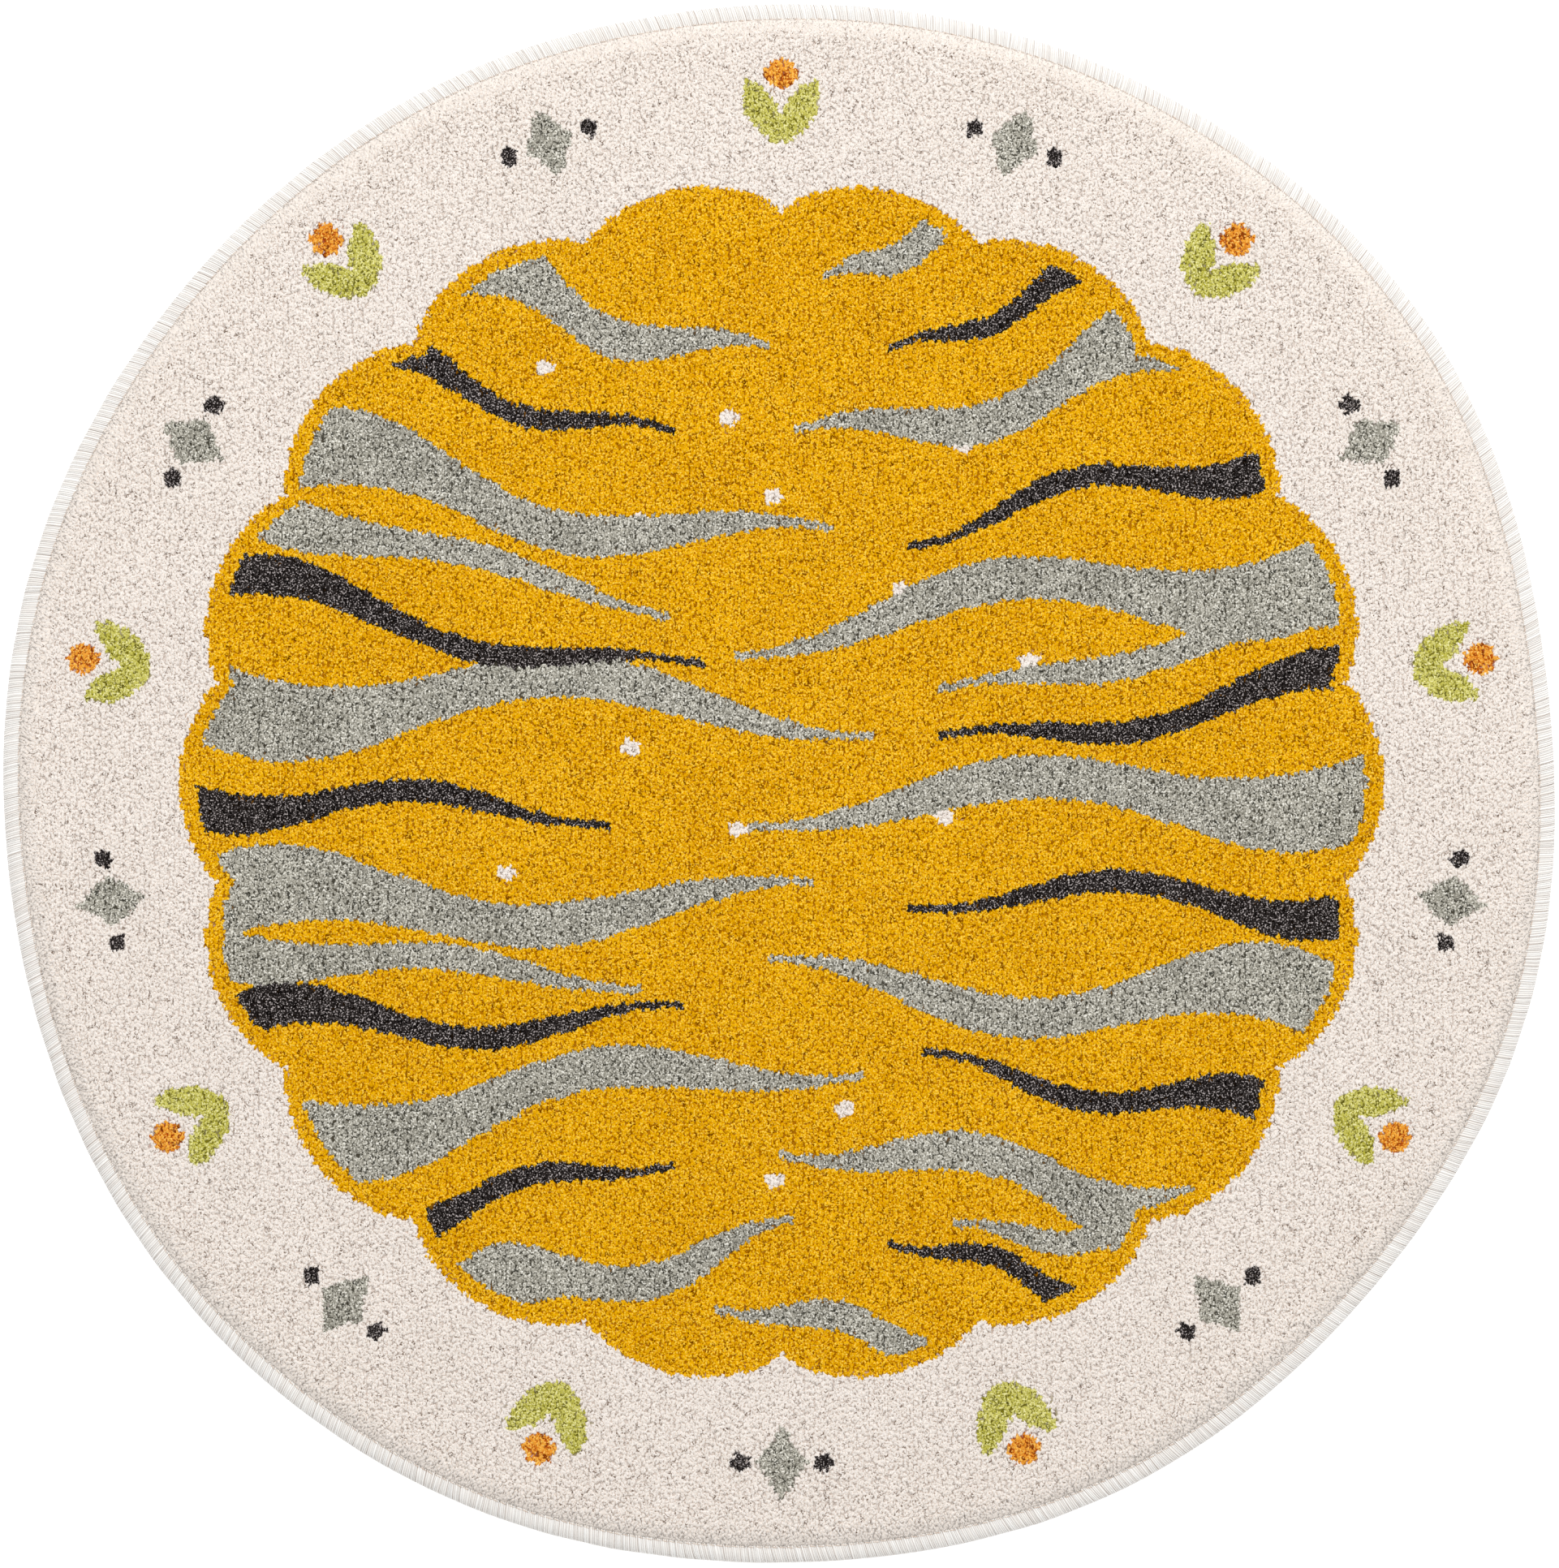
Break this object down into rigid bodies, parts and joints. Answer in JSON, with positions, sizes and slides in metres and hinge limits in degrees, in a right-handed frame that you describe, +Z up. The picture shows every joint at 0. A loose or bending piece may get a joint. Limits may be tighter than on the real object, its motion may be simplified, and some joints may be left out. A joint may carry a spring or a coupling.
{
  "type": "round tiger stripe rug",
  "caption": "Round cut-pile rug for a child's room, with tiger stripes on a mustard field, a cream border and a white overlocked edge; it lies flat on a floor.",
  "frame": {"origin": "centre of the rug's mean circle, on its flat underside", "axes": "+Z up out of the pile; +Y is the way the pile leans, which is the top of the picture; +X to the right of the picture"},
  "size_m": [0.9924, 0.9968, 0.012],
  "materials": {
    "cream_pile": "matte",
    "mustard_pile": "matte",
    "grey_pile": "matte",
    "charcoal_pile": "matte",
    "olive_pile": "matte",
    "orange_pile": "matte",
    "ground_weave": "matte",
    "edging_yarn": "matte",
    "looper_thread": "satin"
  },
  "bodies": {
    "root": {"carpet": "cream_pile", "overlocked_edge": "edging_yarn"}
  },
  "joints": []
}
